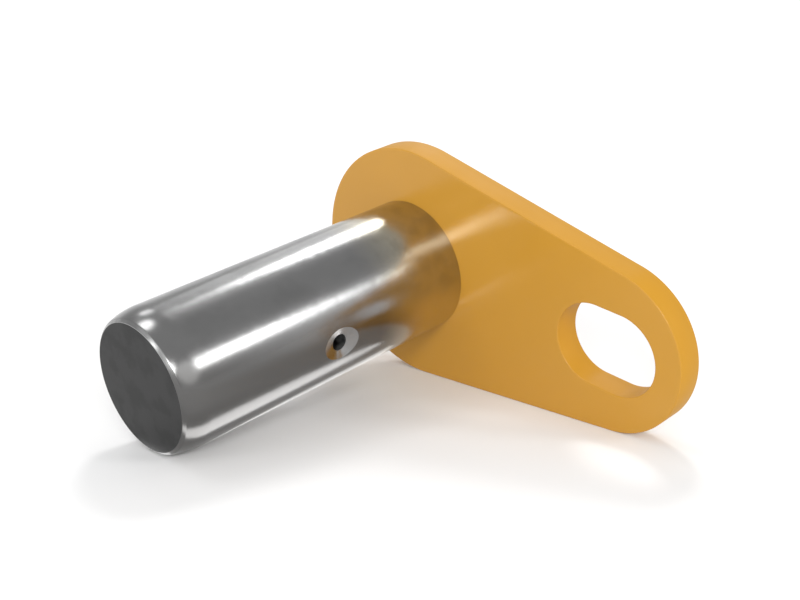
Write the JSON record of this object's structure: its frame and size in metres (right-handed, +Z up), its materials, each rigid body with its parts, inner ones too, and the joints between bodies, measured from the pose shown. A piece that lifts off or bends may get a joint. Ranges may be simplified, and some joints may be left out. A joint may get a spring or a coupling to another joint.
{
  "type": "linkage pin",
  "caption": "Straight steel linkage pin with a curved lead-in and a radial grease hole, welded to a flat flag plate with a slotted tail that keeps it from turning.",
  "frame": {"origin": "middle of the box round the part, on the surface that it rests on", "axes": "+X towards the slotted tail of the plate, +Y towards the head end of the pin, +Z up from the surface that the part rests on"},
  "size_m": [0.1638, 0.1522, 0.0904],
  "materials": {
    "pin_steel": "ground and polished bare steel with faint smudges",
    "plate_paint": "satin amber paint over flame-cut steel plate",
    "zinc_plate": "bright zinc plating",
    "ball_steel": "polished hardened steel",
    "spring_steel": "drawn spring wire"
  },
  "bodies": {
    "pin_assembly": {"pin_shank": "pin_steel", "flag_plate": "plate_paint", "weld_bead": "plate_paint", "nipple_body": "zinc_plate", "check_spring": "spring_steel"},
    "valve": {"check_ball": "ball_steel"}
  },
  "joints": [
    {"name": "check_ball_lift", "type": "slide", "parent": "pin_assembly", "child": "valve", "axis": [0, -0.9852, -0.1713], "range_m": [0, 0.0008], "stiffness_N_per_m": 30, "springref_m": -0.002, "deforming": ["check_spring"]}
  ]
}
